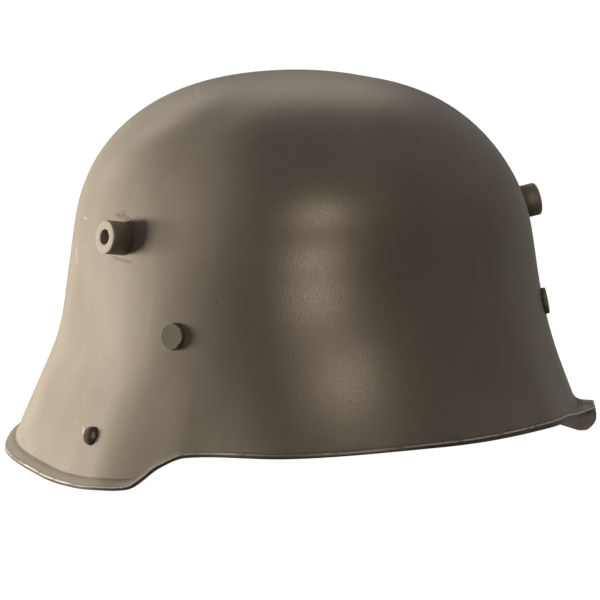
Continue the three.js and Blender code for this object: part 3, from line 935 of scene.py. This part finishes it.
# A piece that stands for a solid: its finish, the body that it rides on and the solid's name
def dress(piece, node, material):
    piece.data.materials.append(material)
    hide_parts(node)
    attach(piece, "root")


# Pierce the shell for each fastener's shank
def pierce(shell, holes):
    cutters = []
    for seat, radius in holes:
        reach = radius + GAP
        depth = 2 * HEM_THICKNESS
        corners = [(0, -depth, 0, 0), (reach, -depth, 0, 0), (reach, depth, 0, 0), (0, depth, 0, 0)]
        cutter = turned("cutter", rounded(corners), seat)
        cutters.append(cutter)
        modifier = shell.modifiers.new("hole", "BOOLEAN")
        modifier.operation = "DIFFERENCE"
        modifier.solver = "EXACT"
        modifier.object = cutter
    bpy.context.view_layer.update()
    graph = bpy.context.evaluated_depsgraph_get()
    pierced = bpy.data.meshes.new_from_object(shell.evaluated_get(graph))
    shell.modifiers.clear()
    shell.data = pierced
    for cutter in cutters:
        bpy.data.objects.remove(cutter)


def make_helmet():
    lug = (make_lug, LUG_SHANK_RADIUS, "lug_steel", lug_steel())
    pin = (make_pin, PIN_SHANK_RADIUS, "pin_paint", pin_paint())
    rivet = (make_rivet, RIVET_SHANK_RADIUS, "rivet_steel", rivet_steel())
    fasteners = [
        ("lug_right", lug, LUG_AZIMUTH, LUG_HEIGHT),
        ("lug_left", lug, -LUG_AZIMUTH, LUG_HEIGHT),
        ("liner_pin_right", pin, PIN_AZIMUTH, PIN_HEIGHT),
        ("liner_pin_left", pin, -PIN_AZIMUTH, PIN_HEIGHT),
        ("liner_pin_rear", pin, 180, REAR_PIN_HEIGHT),
        ("strap_rivet_right", rivet, RIVET_AZIMUTH, RIVET_HEIGHT),
        ("strap_rivet_left", rivet, -RIVET_AZIMUTH, RIVET_HEIGHT),
    ]
    shell = make_shell()
    holes = []
    for node, (make, shank, slot, material), azimuth, height in fasteners:
        seat = seat_on(azimuth, height)
        holes.append((seat, shank))
        dress(make("fine_" + node, seat), node, material)
    pierce(shell, holes)
    dress(shell, "shell", field_paint(shell))


# Unit vector towards a place given in degrees from the front to the wearer's right, and up
def towards(turn, rise):
    turn = math.radians(turn)
    rise = math.radians(rise)
    return Vector((-math.sin(turn) * math.cos(rise), -math.cos(turn) * math.cos(rise), math.sin(rise)))


def make_camera():
    back = towards(VIEW_TURN, VIEW_RISE)
    right = Vector((0, 0, 1)).cross(back).normalized()
    up = back.cross(right)
    aim = Vector((0, -CENTRE_OFFSET, 0)) + right * VIEW_ASIDE + up * VIEW_UP
    data = bpy.data.cameras.new("camera")
    data.sensor_width = SENSOR
    data.lens = SENSOR * VIEW_DISTANCE / MM_PER_PIXEL / IMAGE_SIZE
    camera = bpy.data.objects.new("camera", data)
    camera.matrix_world = Matrix((right, up, back)).transposed().to_4x4()
    camera.location = (aim + back * VIEW_DISTANCE) * MM
    bpy.context.scene.collection.objects.link(camera)
    bpy.context.scene.camera = camera


def make_lights():
    aim = Vector((0, 0, AIM_HEIGHT * MM))
    for row in LIGHTS:
        data = bpy.data.lights.new(row["name"], "AREA")
        data.shape = "RECTANGLE"
        data.size = row["width"]
        data.size_y = row["height"]
        data.energy = row["power"]
        light = bpy.data.objects.new(row["name"], data)
        back = towards(row["turn"], row["rise"])
        light.rotation_mode = "QUATERNION"
        light.rotation_quaternion = back.to_track_quat("Z", "Y")
        light.location = aim + back * row["distance"]
        light.visible_glossy = row["name"] not in SOFT_LIGHTS
        light.visible_diffuse = row["name"] not in SHEEN_LIGHTS
        if row["name"] in WARM_LIGHTS:
            data.color = WARM_LIGHT
        bpy.context.scene.collection.objects.link(light)


def make_world():
    world = bpy.data.worlds.new("studio")
    world.use_nodes = True
    background = world.node_tree.nodes["Background"]
    background.inputs["Color"].default_value = WORLD_COLOUR
    background.inputs["Strength"].default_value = WORLD_LIGHT
    bpy.context.scene.world = world
    bpy.context.scene.view_settings.view_transform = "Standard"


# The floor glows to the camera alone, so it neither lights the helmet nor shows in its paint
def make_floor():
    half = FLOOR_SIZE / 2
    level = -FLOOR_DROP
    corners = [(-half, -half, level), (half, -half, level), (half, half, level), (-half, half, level)]
    floor = mesh_object("floor", corners, [(0, 1, 2, 3)])
    material, tree, shader, place_in = new_material("pale_floor")
    tint = mix(tree, pattern(tree, place_in, "floor"), FLOOR_DARK, FLOOR_LIGHT)
    tree.links.new(tint, shader.inputs["Base Color"])
    shader.inputs["Emission Color"].default_value = FLOOR_GLOW_COLOUR
    shader.inputs["Emission Strength"].default_value = FLOOR_GLOW
    shader.inputs["Roughness"].default_value = FLOOR_ROUGHNESS
    floor.data.materials.append(material)
    floor.visible_diffuse = False
    floor.visible_glossy = False


make_camera()
make_world()
make_floor()
make_lights()
make_helmet()
